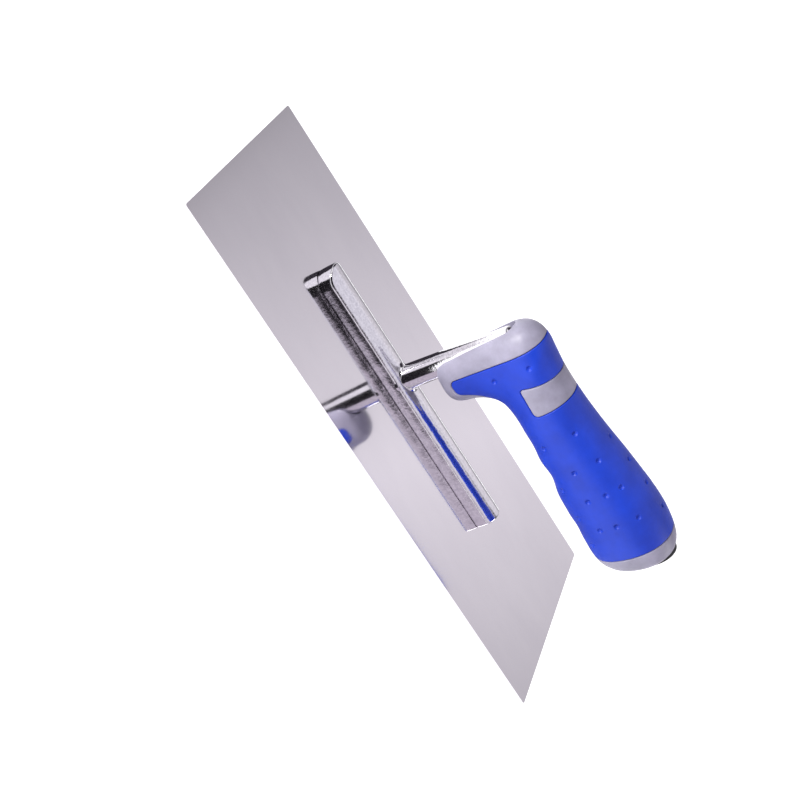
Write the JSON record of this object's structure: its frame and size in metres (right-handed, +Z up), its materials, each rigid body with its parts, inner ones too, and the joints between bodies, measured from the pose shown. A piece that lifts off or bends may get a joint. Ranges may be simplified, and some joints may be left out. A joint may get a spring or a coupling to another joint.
{
  "type": "finishing trowel",
  "caption": "Flat rectangular steel finishing trowel with a polished blade, a chromed rail and shank, and an offset plastic handle with a soft grip above the blade.",
  "frame": {"origin": "middle of the blade's underside, which is the bottom centre of the whole trowel's box", "axes": "+X along the blade and the handle towards the handle's butt, +Y across the blade, +Z up from the blade towards the handle"},
  "size_m": [0.28, 0.12, 0.0868],
  "materials": {
    "blade_steel": "mirror-polished stainless sheet with faint fine lines along the blade",
    "chrome_plate": "bright chrome plate with slight casting ripple",
    "rivet_steel": "ground flush with the blade",
    "grey_plastic": "satin moulded plastic",
    "blue_rubber": "matte soft overmould with small dimples",
    "black_rubber": "matte",
    "zinc_steel": "zinc plated"
  },
  "bodies": {
    "root": {"blade": "blade_steel", "rail": "chrome_plate", "rivet_1": "rivet_steel", "rivet_2": "rivet_steel", "rivet_3": "rivet_steel", "rivet_4": "rivet_steel", "rivet_5": "rivet_steel", "rivet_6": "rivet_steel", "shank": "chrome_plate", "handle_core": "grey_plastic", "soft_grip": "blue_rubber", "butt_cap": "grey_plastic", "end_plug": "black_rubber", "tang_washer": "zinc_steel", "tang_nut": "zinc_steel"}
  },
  "joints": []
}
